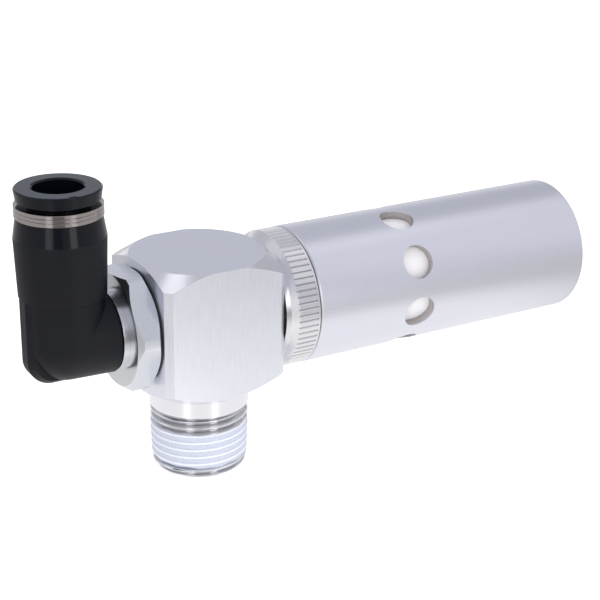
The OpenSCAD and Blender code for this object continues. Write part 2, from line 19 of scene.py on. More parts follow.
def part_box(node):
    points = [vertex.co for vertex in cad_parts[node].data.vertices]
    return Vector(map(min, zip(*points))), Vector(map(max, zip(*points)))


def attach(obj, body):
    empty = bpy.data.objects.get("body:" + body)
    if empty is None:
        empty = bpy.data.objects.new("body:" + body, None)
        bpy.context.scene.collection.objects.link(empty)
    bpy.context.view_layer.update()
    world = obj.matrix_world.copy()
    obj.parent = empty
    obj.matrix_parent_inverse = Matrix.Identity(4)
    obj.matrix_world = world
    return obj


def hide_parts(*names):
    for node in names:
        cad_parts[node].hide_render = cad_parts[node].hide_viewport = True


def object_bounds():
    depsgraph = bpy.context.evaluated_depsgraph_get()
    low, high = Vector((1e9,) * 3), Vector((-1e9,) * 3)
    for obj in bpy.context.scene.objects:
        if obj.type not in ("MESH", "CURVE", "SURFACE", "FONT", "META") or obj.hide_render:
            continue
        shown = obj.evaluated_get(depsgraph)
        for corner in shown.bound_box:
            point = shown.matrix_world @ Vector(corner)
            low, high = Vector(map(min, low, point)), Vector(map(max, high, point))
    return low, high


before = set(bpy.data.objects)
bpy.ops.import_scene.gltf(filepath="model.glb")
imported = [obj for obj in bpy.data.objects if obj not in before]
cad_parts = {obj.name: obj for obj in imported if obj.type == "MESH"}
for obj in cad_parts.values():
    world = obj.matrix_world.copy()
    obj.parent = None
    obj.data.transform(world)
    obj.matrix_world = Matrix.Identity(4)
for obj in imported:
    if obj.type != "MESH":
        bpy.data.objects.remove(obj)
cad_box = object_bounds()
MM = 0.001

print("size in mm:", [round((hi - lo) / MM, 2) for lo, hi in zip(*cad_box)])

# %% [markdown]
# ## Meshes from grids of points
#
# Every new surface below is a grid: rows run along a profile and columns run around an axis. The
# points are worked out as one numpy array and the faces join each point to its neighbours. Doing
# it with arrays keeps the script fast, even where a thread needs a hundred thousand faces. A mesh
# only moves with the part once it rides on a body.

# %% A mesh from a grid, and a piece that rides on a body


def turned_points(radii, heights):
    """Points of a surface around the Z axis, with one column for each angle: (radius times cosine,
    radius times sine, height). radii is rows x columns, and heights fits it or has one column."""
    angle = np.linspace(0, 2 * np.pi, radii.shape[1], endpoint=False)
    heights = np.broadcast_to(heights, radii.shape)
    return np.stack([radii * np.cos(angle), radii * np.sin(angle), heights], -1)


def grid_mesh(name, points, close_rows=False):
    """A mesh of quads between neighbouring grid points. Columns always close into a ring, and
    rows close too where the profile is a loop. points is an array of rows x columns x 3."""
    rows, columns = points.shape[:2]
    number = np.arange(rows * columns).reshape(rows, columns)
    number = np.concatenate([number, number[:, :1]], axis=1)
    if close_rows:
        number = np.concatenate([number, number[:1]], axis=0)
    corners = [number[:-1, :-1], number[:-1, 1:], number[1:, 1:], number[1:, :-1]]
    mesh = bpy.data.meshes.new(name)
    mesh.from_pydata(points.reshape(-1, 3), [], np.stack(corners, -1).reshape(-1, 4).tolist())
    mesh.shade_smooth()
    return mesh


def add_piece(name, mesh, body, replaced=()):
    """Puts a mesh into the scene as a piece that rides on a body, and hides the imported nodes it
    replaces.
    """
    piece = bpy.data.objects.new(name, mesh)
    bpy.context.scene.collection.objects.link(piece)
    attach(piece, body)
    if replaced:
        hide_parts(*replaced)
    print(f"{name}: {len(mesh.polygons)} faces")
    return piece


# %% [markdown]
# ## The taper pipe thread
#
# The spigot under the block carries a sealing pipe thread: 19 turns to the inch, flanks at 55
# degrees, and a taper of 1 in 16 on the diameter. A helix can be drawn as a screw modifier, but a
# height field is simpler: at each angle and height the radius is the tapered crest radius less a
# wave that repeats once every pitch and shifts by one pitch in a full turn around the axis.

# %% Thread form
sealant_low, sealant_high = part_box("thread_sealant")
block_low, block_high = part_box("body_block")
GAUGE_RADIUS = sealant_high.x
PITCH = 25.4 * MM / 19
THREAD_DEPTH = 0.64 * PITCH
TAPER = 1 / 32
CREST_PHASE = 1.66 * MM
CREST_ANGLE = math.radians(-121)
SPIGOT_END = block_low.z
END_CHAMFER = 0.8 * MM
END_CHAMFER_LENGTH = 0.9 * MM
BOSS_FOOT = 5.1 * MM
RUN_OUT_DEPTH = 0.7 * MM
FADE_START = BOSS_FOOT - 0.9 * MM
FADE_END = BOSS_FOOT - 0.3 * MM


def smoothstep(low, high, value):
    """0 below low, 1 above high, and an S-shaped rise between: t*t*(3 - 2t)."""
    t = np.clip((value - low) / (high - low), 0, 1)
    return t * t * (3 - 2 * t)


def thread_wave(angle, height):
    """0 at a crest and 1 at a root: the distance along the axis to the nearest crest, in half
    pitches, with both ends of that zigzag rounded by a cosine."""
    turns = (height - CREST_PHASE) / PITCH - (angle - CREST_ANGLE) / (2 * np.pi)
    zigzag = np.abs(2 * (turns - np.round(turns)))
    rounded = 0.5 - 0.5 * np.cos(np.pi * zigzag)
    return 0.7 * zigzag + 0.3 * rounded


def crest_radius(height):
    """Radius over the crests: the gauge radius plus the taper times the height."""
    return GAUGE_RADIUS + TAPER * height


def thread_radius(angle, height):
    """Crest radius less the wave, cut by the chamfer at the end and faded out into the run-out
    groove under the boss."""
    kept = 1 - smoothstep(FADE_START, FADE_END, height)
    chamfer = 1 - smoothstep(0, 1, (height - SPIGOT_END) / END_CHAMFER_LENGTH)
    chamfered = crest_radius(height) - END_CHAMFER * chamfer
    groove = crest_radius(BOSS_FOOT) - RUN_OUT_DEPTH
    cut = np.minimum(chamfered, crest_radius(height) - THREAD_DEPTH * thread_wave(angle, height))
    return cut * kept + groove * (1 - kept)


print(f"thread: pitch {PITCH / MM:.3f} mm, {(BOSS_FOOT - SPIGOT_END) / PITCH:.1f} turns")

# %% [markdown]
# ## The block
#
# The block is a sawn length of square bar, with its four corners turned away above and below and
# its bores drilled. All of that is right as it was packed, and only the spigot is plain. So a copy
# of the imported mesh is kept, less the spigot's outside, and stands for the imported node. The copy
# is merged first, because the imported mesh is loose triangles.

# %% The block without its plain spigot
BORE_RADIUS = 5 * MM
MERGE_DISTANCE = 1e-7
HAIR = 0.01 * MM
SHARP_ANGLE = math.radians(20)


def block_without_spigot():
    """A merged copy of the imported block, less the plain faces outside its bore and below its boss.
    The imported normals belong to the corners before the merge, so they are dropped."""
    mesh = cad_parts["body_block"].data.copy()
    mesh.name = "block"
    mesh.attributes.remove(mesh.attributes["custom_normal"])
    shell = bmesh.new()
    shell.from_mesh(mesh)
    bmesh.ops.remove_doubles(shell, verts=shell.verts, dist=MERGE_DISTANCE)
    plain = []
    for face in shell.faces:
        middle = face.calc_center_median()
        if middle.z < BOSS_FOOT - HAIR and math.hypot(middle.x, middle.y) > BORE_RADIUS + HAIR:
            plain.append(face)
    bmesh.ops.delete(shell, geom=plain, context="FACES")
    shell.to_mesh(mesh)
    shell.free()
    mesh.shade_smooth()
    mesh.set_sharp_from_angle(angle=SHARP_ANGLE)
    return mesh


block = add_piece("block", block_without_spigot(), "ejector", ["body_block"])

# %% [markdown]
# ## The spigot below it
#
# On the real block the spigot is turned first and its thread is then cut. Here its outside is one
# sheet that starts at the bore's rim, crosses the flat end and climbs the thread up to the boss. A
# boolean cut of a helix out of a cylinder would leave slivers, while this grid has even faces all
# over.

# %% The threaded spigot
THREAD_COLUMNS = 288
THREAD_ROWS = 232
END_ROWS = 4
ANGLES = np.linspace(0, 2 * np.pi, THREAD_COLUMNS, endpoint=False)[None, :]


def threaded_spigot():
    """Rows of the flat end run from the bore's radius to the thread's smallest one. The rows after
    them climb in even steps and take their radii from the thread's formula."""
    heights = np.linspace(SPIGOT_END, BOSS_FOOT, THREAD_ROWS)[:, None]
    thread = thread_radius(ANGLES, heights)
    end = np.linspace(BORE_RADIUS, thread[0].min(), END_ROWS + 1)[:-1, None]
    radii = np.concatenate([end * np.ones(THREAD_COLUMNS), thread])
    heights = np.concatenate([np.full((END_ROWS, 1), SPIGOT_END), heights])
    return grid_mesh("threaded_spigot", turned_points(radii, heights))


spigot = add_piece("spigot_thread", threaded_spigot(), "ejector")

# %% [markdown]
# ## The sealant on the thread
#
# The white layer is a resin that is brushed on and dried. It fills the roots of the thread with
# wide, flat valleys and covers the crests only thinly, so they stay narrow ridges. It is made as
# a closed loop: one row of points goes up the outside and comes back just inside the metal, and
# both ends thin out to nothing.

# %% The sealant layer
VALLEY_DEPTH = 0.26 * MM
SEALANT_SKIN = 0.06 * MM
SEALANT_ROWS = 150
ROWS_PER_INNER_ROW = 8
RAGGED_EDGE = 0.05 * MM
EDGE_TUCK = 0.03 * MM
INNER_TUCK = 0.1 * MM


def sealant_layer():
    """Outside: crest radius plus a thin skin, which drops steeply from each crest to the flat
    valleys. Inside: slightly under the thread's surface, with fewer rows. Both edges waver with
    two slow sines around the axis, and the upper one climbs a fifth of a pitch, as a brush
    stroke does."""
    share = np.linspace(0, 1, SEALANT_ROWS)[:, None]
    ragged = RAGGED_EDGE * (np.sin(5 * ANGLES + 1) + np.sin(13 * ANGLES))
    low = sealant_low.z + ragged
    high = sealant_high.z + 0.9 * ragged + PITCH * (ANGLES / (2 * np.pi) - 0.6) * 0.2
    height = low + (high - low) * share
    drop = VALLEY_DEPTH * smoothstep(0.05, 0.42, thread_wave(ANGLES, height))
    coat = crest_radius(height) + SEALANT_SKIN - drop
    metal = thread_radius(ANGLES, height) - EDGE_TUCK
    edge = smoothstep(0, 0.05, share) * (1 - smoothstep(0.95, 1, share))
    outside = metal + (coat - metal) * edge
    inner_rows = slice(None, None, -ROWS_PER_INNER_ROW)
    radii = np.concatenate([outside, metal[inner_rows] - INNER_TUCK])
    heights = np.concatenate([height, height[inner_rows]])
    return grid_mesh("sealant", turned_points(radii, heights), close_rows=True)


sealant = add_piece("sealant", sealant_layer(), "ejector", ["thread_sealant"])

# %% [markdown]
# ## Shader maths as Python expressions
#
# A material is a graph of nodes. Written out node by node it is hard to read, so a small class
# wraps a socket and turns + - * > into Math nodes. A pattern can then be written as a formula, and
# every other node is added by one method that takes its type, its settings and its inputs.

# %% Sockets that can be added and multiplied


class Wire:
    """A number that changes over the surface: the output socket of a node."""

    def __init__(self, maker, socket):
        self.maker = maker
        self.socket = socket

    def _maths(self, operation, first, second):
        return self.maker.node("ShaderNodeMath", {"operation": operation}, {0: first, 1: second})

    def __add__(self, other):
        return self._maths("ADD", self, other)

    def __sub__(self, other):
        return self._maths("SUBTRACT", self, other)

    def __rsub__(self, other):
        return self._maths("SUBTRACT", other, self)

    def __mul__(self, other):
        return self._maths("MULTIPLY", self, other)

    def __gt__(self, other):
        return self._maths("GREATER_THAN", self, other)

    def power(self, exponent):
        return self._maths("POWER", self, exponent)

    __radd__ = __add__
    __rmul__ = __mul__


def from_axis(first, second):
    """Distance from an axis: the root of the summed squares of the two coordinates across it."""
    return (first * first + second * second).power(0.5)


def between(low, high, value):
    """1 where the value lies between two bounds, and 0 elsewhere."""
    return (value > low) * (1 - (value > high))


# %% A tree of nodes, and a finish


class NodeTree:
    """A tree of shader nodes, for a material or for the world."""

    def __init__(self, tree):
        self.tree = tree

    def put(self, socket, value):
        """Sets a socket to a value, or links it where the value is a Wire."""
        if isinstance(value, Wire):
            self.tree.links.new(value.socket, socket)
        elif socket.type == "RGBA" and len(value) == 3:
            socket.default_value = (*value, 1)
        else:
            socket.default_value = value

    def node(self, kind, settings=None, inputs=None, output=0):
        """Adds a node: its settings are set first, then the values or links of its sockets."""
        made = self.tree.nodes.new(kind)
        for key, value in (settings or {}).items():
            setattr(made, key, value)
        for key, value in (inputs or {}).items():
            self.put(made.inputs[key], value)
        return Wire(self, made.outputs[output])

    def split(self, point):
        """The three coordinates of a point or direction."""
        made = self.tree.nodes.new("ShaderNodeSeparateXYZ")
        self.put(made.inputs[0], point)
        return [Wire(self, socket) for socket in made.outputs]

    def step(self, low, high, value):
        """An S-shaped rise from 0 at low to 1 at high."""
        settings = {"interpolation_type": "SMOOTHSTEP"}
        inputs = {"Value": value, "From Min": low, "From Max": high}
        return self.node("ShaderNodeMapRange", settings, inputs)

    def mix(self, factor, first, second):
        """A colour between two colours."""
        made = self.tree.nodes.new("ShaderNodeMix")
        made.data_type = "RGBA"
        for key, value in (("Factor_Float", factor), ("A_Color", first), ("B_Color", second)):
            self.put(next(s for s in made.inputs if s.identifier == key), value)
        return Wire(self, next(s for s in made.outputs if s.identifier == "Result_Color"))


class Finish(NodeTree):
    """A material with one Principled shader. Constants go straight onto the shader's sockets."""

    def __init__(self, name, **constants):
        self.material = bpy.data.materials.new(name)
        self.material.use_nodes = True
        super().__init__(self.material.node_tree)
        self.shader = self.tree.nodes["Principled BSDF"]
        for socket, value in constants.items():
            self.set(socket.replace("_", " "), value)

    def set(self, socket, value):
        self.put(self.shader.inputs[socket], value)

    def place(self):
        """Where a point of the piece lies, in metres."""
        return self.node("ShaderNodeTexCoord", output="Object")

    def axes(self):
        """The three coordinates of that place."""
        return self.split(self.place())

    def noise(self, cells_per_mm, where=None, detail=2, roughness=0.5):
        """Cloudy noise from 0 to 1, with its own number of cells to the millimetre along each of
        X, Y and Z."""
        placed = {"Vector": where or self.place(), "Scale": [c / MM for c in cells_per_mm]}
        point = self.node("ShaderNodeMapping", inputs=placed)
        inputs = {"Vector": point, "Scale": 1, "Detail": detail, "Roughness": roughness}
        return self.node("ShaderNodeTexNoise", inputs=inputs)

    def lathe_rings(self, across, along, cells_per_mm):
        """Noise that changes only with the distance from an axis and with the place along it, as
        the marks of a turning tool do."""
        inputs = {0: across, 1: along, 2: 0.0}
        ringed = self.node("ShaderNodeCombineXYZ", inputs=inputs)
        return self.noise((cells_per_mm, cells_per_mm, 1), where=ringed)

    def bump(self, height, depth_mm, strength=1.0):
        """Gives the shader a relief: height runs from 0 to 1 and stands for depth_mm."""
        inputs = {"Height": height, "Strength": strength, "Distance": depth_mm * MM}
        self.set("Normal", self.node("ShaderNodeBump", inputs=inputs))


# %% [markdown]
# ## How a finish gets onto a piece
#
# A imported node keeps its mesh, and only the material in its slot changes. Where a new piece stands
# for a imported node, both get the same finish, so that they match wherever either is shown.

# %% Put a finish on pieces
def dress(finish, *names):
    """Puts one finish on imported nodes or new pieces, named or given."""
    for name in names:
        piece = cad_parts[name] if isinstance(name, str) else name
        piece.data.materials.clear()
        piece.data.materials.append(finish.material)
    print(f"{finish.material.name}: {len(finish.tree.nodes)} nodes, on {len(names)} pieces")


def tone(colour, factor):
    """A colour made lighter or darker."""
    return tuple(min(1.0, c * factor) for c in colour)


# %% [markdown]
# ## The ground block
#
# The block is bright aluminium. Its sides were ground, which leaves fine upright lines broken up
# by speckle, while its cones, boss and top were turned and show rings. One material can hold both,
# because a formula on the coordinates tells where a cone begins: a mask is cheaper and more exact
# here than painting, and it follows the size of the block.

# %% Ground sides and turned cones
ALUMINIUM = (0.79, 0.80, 0.86)
CONE = (0.83, 0.82, 0.86)
CONE_SLOPE = math.tan(math.radians(31))
CONE_MARGIN = 0.05 * MM
TOP_FLAT_RADIUS = 11.35 * MM
BOSS_RADIUS = 8.5 * MM
CONE_FOOT = 7.75 * MM


def ground_aluminium():
    """Upright grain on the sides; rings around the axis on the cones, the boss and the top."""
    finish = Finish("block_aluminium", Metallic=1.0)
    x, y, z = finish.axes()
    radius = from_axis(x, y)
    top_cone = z + (radius - TOP_FLAT_RADIUS) * CONE_SLOPE > block_high.z - CONE_MARGIN
    low_cone = (CONE_FOOT + CONE_MARGIN + (radius - BOSS_RADIUS) * CONE_SLOPE) - z > 0.0
    top = z > block_high.z - HAIR
    turned = finish.node("ShaderNodeClamp", inputs={"Value": top_cone + low_cone})
    grain = finish.noise((7, 7, 0.22), detail=4, roughness=0.6)
    speckle = finish.noise((7, 7, 5))
    clouds = finish.noise((0.35, 0.35, 0.2))
    rings = finish.lathe_rings(radius, z, 9)
    ground = finish.step(0.25, 0.75, grain) * 0.6 + finish.step(0.3, 0.7, speckle) * 0.4
    mixed = ground * (1 - turned) + rings * turned
    metal = finish.mix(mixed, tone(ALUMINIUM, 0.90), tone(ALUMINIUM, 1.07))
    cone_metal = finish.mix(rings, tone(CONE, 0.90), tone(CONE, 1.07))
    finish.set("Base Color", finish.mix(turned * (1 - top), metal, cone_metal))
    satin = 0.34 + (mixed - 0.5) * 0.12 + (clouds - 0.5) * 0.06
    smooth = 0.20 + (mixed - 0.5) * 0.08 + (clouds - 0.5) * 0.05
    finish.set("Roughness", satin * (1 - turned) + smooth * turned + turned * top * 0.10)
    finish.bump(mixed, 0.004, 0.5)
    return finish


dress(ground_aluminium(), block, "body_block")

# %% [markdown]
# ## The cut thread
#
# A thread tool leaves smooth flanks. The crests were turned before, and their bright tone is a
# painted highlight, while the grooves between them are painted greyer as shade. The same taper that
# shaped the mesh tells how deep a point lies below the crests, so the two tones need no second mesh.

# %% Painted highlight on the crests, painted shade in the grooves
GROOVE_DEPTHS = (-0.40 * MM, -0.08 * MM)


def cut_aluminium():
    """The thread and the spigot's end: smooth, with rings from the tool. The bright tone, a painted
    highlight, comes in as the radius nears that of the tapered crests."""
    finish = Finish("thread_aluminium", Metallic=1.0)
    x, y, z = finish.axes()
    radius = from_axis(x, y)
    rings = finish.lathe_rings(radius, z, 12)
    crest = finish.step(*GROOVE_DEPTHS, radius - z * TAPER - GAUGE_RADIUS)
    # Painted shade: the grooves are darker than the crests, whose near-white is a painted highlight.
    groove = finish.mix(rings, (0.50, 0.50, 0.52), (0.60, 0.60, 0.62))
    finish.set("Base Color", finish.mix(crest, groove, (0.95, 0.95, 0.97)))
    finish.set("Roughness", 0.14 + (rings - 0.5) * 0.08)
    finish.bump(rings, 0.003, 0.4)
    return finish


dress(cut_aluminium(), spigot)

# %% [markdown]
# ## The dried sealant
#
# The resin is a pale lavender and dries matt, with tiny lumps from its filler. It is painted darker
# in the valleys as shade and nearly white along the ridges as a painted highlight. The lumps are
# only a few hundredths of a millimetre high, so a bump does for them, while ridges and valleys are
# in the mesh.

# %% Lavender valleys in painted shade, ridges with a painted highlight
RIDGE_HEIGHTS = (0.02 * MM, 0.20 * MM)


def dried_sealant():
    """Matt resin with small lumps. Height above the valleys is the radius less that of the tapered
    cone on which they lie."""
    finish = Finish("sealant_white", IOR=1.45)
    x, y, z = finish.axes()
    above = from_axis(x, y) - z * TAPER - (GAUGE_RADIUS + SEALANT_SKIN - VALLEY_DEPTH)
    ridge = finish.step(*RIDGE_HEIGHTS, above)
    lumps = finish.noise((5, 5, 6), detail=4, roughness=0.7)
    # Painted shade and highlight: the valleys are darker lavender, and the ridges are nearly white.
    valley = finish.mix(finish.step(0.35, 0.65, lumps), (0.52, 0.55, 0.68), (0.68, 0.71, 0.82))
    finish.set("Base Color", finish.mix(ridge, valley, (0.88, 0.91, 1.0)))
    finish.set("Roughness", 0.45 + (lumps - 0.5) * 0.2)
    finish.bump(lumps, 0.02, 0.6)
    return finish


dress(dried_sealant(), sealant, "thread_sealant")

# %% [markdown]
# ## The stem
#
# The hexagon between block and elbow has a fine satin grain on its flats and a turned face
# towards the elbow, painted greyer as shade from the black elbow in front of it. The short neck
# beyond that face is polished, because the elbow's seal slides on it. The face is found from the
# gasket behind the hexagon and the hexagon's width.

# %% Satin hexagon and polished neck
HEX_WIDTH = 4.15 * MM
HEX_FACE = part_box("stem_gasket")[0].x - HEX_WIDTH
NECK_END = HEX_FACE - 0.02 * MM


def stem_aluminium():
    """Satin grain along the hexagon's flats, and rings around the ejector's axis on the neck."""
    finish = Finish("stem_aluminium", Metallic=1.0)
    x = finish.axes()[0]
    neck = 1 - (x > NECK_END)
    face = between(NECK_END, HEX_FACE + 0.05 * MM, x)
    grain = finish.noise((0.8, 5, 5), detail=4, roughness=0.6)
    rings = finish.noise((14, 0.05, 0.05), detail=1)
    metal = finish.mix(grain, (0.66, 0.675, 0.73), (0.74, 0.755, 0.80))
    metal = finish.mix(neck, metal, (0.93, 0.935, 0.96))
    # Painted shade: the hexagon's face towards the elbow is painted greyer than the flats.
    finish.set("Base Color", finish.mix(face, metal, (0.58, 0.59, 0.62)))
    satin = 0.25 - face * 0.04 + (grain - 0.5) * 0.12
    finish.set("Roughness", satin * (1 - neck) + neck * (0.16 + rings * 0.08))
    finish.bump(grain * (1 - neck) + rings * neck, 0.004, 0.5)
    return finish


dress(stem_aluminium(), "hex_stem")

# %% [markdown]
# ## The silencer's case and its adapter
#
# The case is drawn tube and the adapter is turned, and both are satin-anodised. Their grain runs
# differently: along the tube, and around the adapter. So one function makes both, and only the
# noise is stretched another way. The joint between them is painted near-black as shade in the gap,
# the knurl's grooves are painted a little darker as shade, and the walls of the holes are dull,
# because they were only drilled.

# %% Satin case and adapter
case_low, case_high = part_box("silencer_case")
JOINT_X = case_low.x
AXIS_Z = (case_low.z + case_high.z) / 2
CASE_RADIUS = case_high.y
END_WALL = 2 * MM
KNURL_RADIUS = CASE_RADIUS - 0.1 * MM
KNURL_WIDTH = 4.15 * MM
JOINT_WIDTH = 0.205 * MM
# Painted shade in the gap between adapter and case.
PAINTED_JOINT_SHADE = (0.02, 0.02, 0.02)
HOLE_WALL = (0.52, 0.49, 0.48)


def satin_aluminium(name, colour, roughness, cells_per_mm):
    """Fine grain along one direction, with a faint speckle. Distance from the silencer's axis
    tells the knurl's grooves from its lands, and the walls of the exhaust holes from the skin."""
    finish = Finish(name, Metallic=1.0)
    x, y, z = finish.axes()
    radius = from_axis(y, z - AXIS_Z)
    land = finish.step(KNURL_RADIUS - 0.24 * MM, KNURL_RADIUS - 0.02 * MM, radius)
    groove = between(JOINT_X - KNURL_WIDTH, JOINT_X, x) * (1 - land)
    skin = finish.step(CASE_RADIUS - 0.30 * MM, CASE_RADIUS - 0.08 * MM, radius)
    hole_wall = between(JOINT_X, case_high.x - END_WALL, x) * (1 - skin)
    joint_shade = between(JOINT_X - JOINT_WIDTH, JOINT_X + 0.005 * MM, x)
    grain = finish.noise(cells_per_mm, detail=4, roughness=0.65)
    speckle = finish.noise((5, 5, 5), detail=3, roughness=0.7)
    clouds = finish.noise((0.15, 0.3, 0.3))
    mixed = grain * 0.6 + speckle * 0.4
    metal = finish.mix(mixed, tone(colour, 0.9), tone(colour, 1.06))
    # Painted shade: the knurl's grooves are darker than its lands.
    metal = finish.mix(groove, metal, tone(colour, 0.82))
    metal = finish.mix(hole_wall, metal, HOLE_WALL)
    # Painted shade: a near-black band in the gap at the joint.
    finish.set("Base Color", finish.mix(joint_shade, metal, PAINTED_JOINT_SHADE))
    finish.set("Roughness", roughness + (mixed - 0.5) * 0.2 + (clouds - 0.5) * 0.06)
    finish.bump(mixed, 0.004, 0.4)
    return finish


turned_satin = satin_aluminium("adapter_aluminium", (0.78, 0.765, 0.79), 0.24, (6, 0.6, 0.6))
drawn_satin = satin_aluminium("case_aluminium", (0.78, 0.78, 0.855), 0.32, (0.45, 6, 6))
dress(turned_satin, "silencer_adapter")
dress(drawn_satin, "silencer_case")

# %% [markdown]
# ## The moulded elbow
#
# The elbow is glass-filled nylon from a mould with a fine spark-eroded skin, so it is black with a
# dull sheen. Only the last millimetres under the metal ring are smooth, where the mould's insert
# was polished, and there the lamps show as clear upright streaks. The pits are far too small to
# model, so a bump makes them.

# %% Pitted and polished nylon
POLISHED_BAND = 3.35 * MM
BARREL_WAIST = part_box("elbow_body")[1].z - POLISHED_BAND


def elbow_plastic():
    """Black, finely pitted below the barrel's waist and polished above it."""
    finish = Finish("elbow_plastic", Specular_IOR_Level=0.24)
    z = finish.axes()[2]
    polished = finish.step(BARREL_WAIST - 0.1 * MM, BARREL_WAIST + 0.1 * MM, z)
    pits = finish.noise((9, 9, 9), detail=3, roughness=0.6)
    clouds = finish.noise((0.25, 0.25, 0.25))
    nylon = finish.mix(clouds, (0.0030, 0.0036, 0.0068), (0.0042, 0.0050, 0.0090))
    finish.set("Base Color", nylon)
    finish.set("Roughness", (0.50 + (clouds - 0.5) * 0.12) * (1 - polished) + polished * 0.13)
    finish.bump(pits, 0.012, (1 - polished) * 0.8 + 0.02)
    return finish


dress(elbow_plastic(), "elbow_body")

# %% [markdown]
# ## The release ring
#
# The ring that frees the tube is acetal, which is blue-black and smoother than nylon. Its top face
# is painted a little paler, as light from above falls on it. Height alone finds that face.

# %% Acetal with painted light on its top
release_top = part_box("release_ring")[1].z


def release_plastic():
    """Blue-black, with a faint flow pattern. The last tenth of a millimetre at the top is painted
    paler, as lit from above.
    """
    finish = Finish("release_plastic", Specular_IOR_Level=0.25)
    z = finish.axes()[2]
    lit_top = finish.step(release_top - 0.10 * MM, release_top - 0.03 * MM, z)
    pits = finish.noise((6, 6, 6))
    clouds = finish.noise((0.4, 0.4, 0.4))
    plastic = finish.mix(clouds, (0.0022, 0.0034, 0.0062), (0.0034, 0.0050, 0.0088))
    # Painted light: the top face is paler because light falls on it from above.
    finish.set("Base Color", finish.mix(lit_top, plastic, (0.022, 0.031, 0.044)))
    finish.set("Roughness", 0.22 + (clouds - 0.5) * 0.1)
    finish.bump(pits, 0.006, 0.4)
    return finish


dress(release_plastic(), "release_ring")

# %% [markdown]
# ## The guide ring
#
# The band round the elbow's mouth is brass under bright nickel, which is warmer than aluminium. It
# was turned, so its marks are level rings. Noise that depends on the height alone gives them.

# %% Bright nickel
def guide_nickel():
    """Bright nickel with turning rings around the barrel's axis."""
    finish = Finish("guide_nickel", Metallic=1.0)
    z = finish.axes()[2]
    rings = finish.lathe_rings(z, 0.0, 15)
    finish.set("Base Color", finish.mix(rings, (0.36, 0.325, 0.315), (0.50, 0.455, 0.44)))
    finish.set("Roughness", 0.09 + (rings - 0.5) * 0.06)
    finish.bump(rings, 0.004, 0.4)
    return finish


dress(guide_nickel(), "guide_ring")

# %% [markdown]
# ## Turned metal inside
#
# The claw is spring steel, and the nozzle and diffuser are brass. They are hidden when the part is
# whole, but anyone who takes it apart sees them, so they get the rings of a lathe too. Noise that
# is short along X and very long across it is enough for parts this small.

# %% Steel and brass
def turned_metal(name, colour, roughness):
    """Metal that was turned about the ejector's axis: fine rings that follow X."""
    finish = Finish(name, Metallic=1.0)
    rings = finish.noise((11, 0.1, 0.1))
    finish.set("Base Color", finish.mix(rings, tone(colour, 0.88), tone(colour, 1.06)))
    finish.set("Roughness", roughness + (rings - 0.5) * 0.12)
    finish.bump(rings, 0.004, 0.5)
    return finish


dress(turned_metal("claw_steel", (0.62, 0.61, 0.60), 0.28), "lock_claw")
dress(turned_metal("nozzle_brass", (0.78, 0.60, 0.30), 0.25), "nozzle", "diffuser")

# %% [markdown]
# ## Felt and rubber
#
# The silencer's element is a thick white felt whose fibres show in the holes. Hair strands would be
# thousands of curves behind eight small windows, so long thin noise cells in two directions stand
# for crossing fibres. The gaskets and rings are black nitrile rubber, dull and slightly mottled.

# %% White felt
def white_felt():
    """Thick needled felt: the larger of two stretched noises makes crossing fibres."""
    finish = Finish("element_felt", Roughness=0.95, Sheen_Weight=0.3)
    first = finish.noise((6, 0.9, 6), detail=3, roughness=0.7)
    second = finish.noise((0.9, 6, 6), detail=3, roughness=0.7)
    fibres = finish.node("ShaderNodeMath", {"operation": "MAXIMUM"}, {0: first, 1: second})
    finish.set("Base Color", finish.mix(fibres, (0.84, 0.83, 0.86), (0.97, 0.96, 0.99)))
    finish.bump(fibres, 0.08, 0.7)
    return finish


dress(white_felt(), "silencer_element")


# %% Black rubber
def black_rubber():
    """Nitrile rubber: black, dull and slightly mottled."""
    finish = Finish("seal_rubber")
    mottle = finish.noise((3, 3, 3), detail=3)
    finish.set("Base Color", finish.mix(mottle, (0.012, 0.012, 0.012), (0.022, 0.022, 0.023)))
    finish.set("Roughness", 0.6 + (mottle - 0.5) * 0.2)
    finish.bump(mottle, 0.01, 0.5)
    return finish


dress(black_rubber(), "stem_gasket", "adapter_gasket", "stem_o_ring", "tube_seal",
      "nozzle_o_ring", "diffuser_o_ring")

# %% [markdown]
# ## A small white studio
#
# Polished metal shows the room more than its own colour, so the room matters as much as the
# material. This one is a white table whose light fades away from the part, a white backdrop, dimmer
# walls, three small soft lamps overhead, a large one at the right and a narrow upright lamp on
# each side of the camera. An image of a real room would do as well, but a few formulas on the
# direction are easy to change and need no file.

# %% The room as metal sees it
WHITE = (1.0, 1.0, 1.0)
WALL_TINT = (0.95, 0.975, 1.06)
WALL_LEVEL = 0.61
DIFFUSE_LEVEL = 0.95
CAMERA_SIDE_LOSS = 0.6
CAMERA_SIDE_EDGE = (0.95, 0.985)


def direction(azimuth, elevation=0):
    """A unit vector that points that way, in degrees: cosines and sines of both angles."""
    a, e = math.radians(azimuth), math.radians(elevation)
    return Vector((math.cos(e) * math.cos(a), math.cos(e) * math.sin(a), math.sin(e)))


CAMERA_AZIMUTH = 59.05
FORWARD = direction(CAMERA_AZIMUTH)


def reach(x, y, way):
    """How far a place or direction goes along a level way: the dot product."""
    return x * way.x + y * way.y


